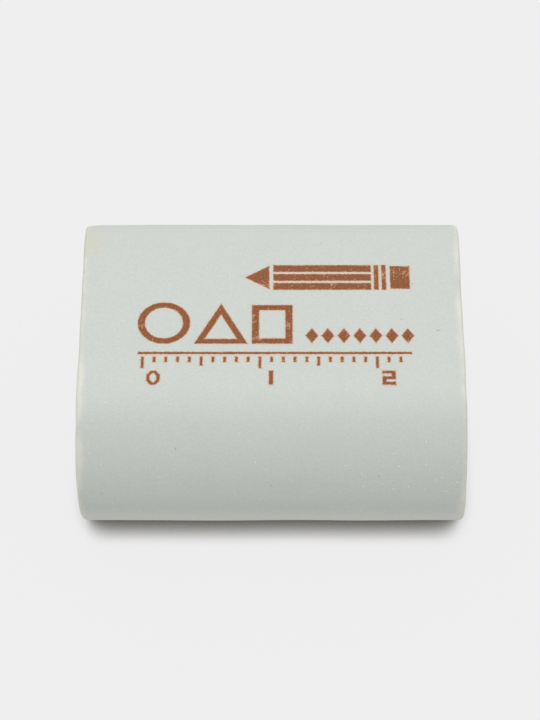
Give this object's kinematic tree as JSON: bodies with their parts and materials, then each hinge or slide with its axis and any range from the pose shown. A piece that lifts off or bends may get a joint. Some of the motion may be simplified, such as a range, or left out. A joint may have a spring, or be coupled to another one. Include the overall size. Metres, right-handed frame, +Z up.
{
  "type": "rubber eraser",
  "caption": "Small block of soft white rubber with two flat faces and rounded sides, for rubbing out pencil marks.",
  "frame": {"origin": "on the resting face, under the middle of the block", "axes": "+X along the block from cut end to cut end, +Y from front to back, +Z up, out of the printed face"},
  "size_m": [0.0332, 0.029, 0.0152],
  "materials": {
    "white_rubber": "matt filled rubber with a fine grain",
    "brown_ink": "thin stamped ink, worn and speckled"
  },
  "bodies": {
    "root": {"eraser_block": "white_rubber"}
  },
  "joints": []
}
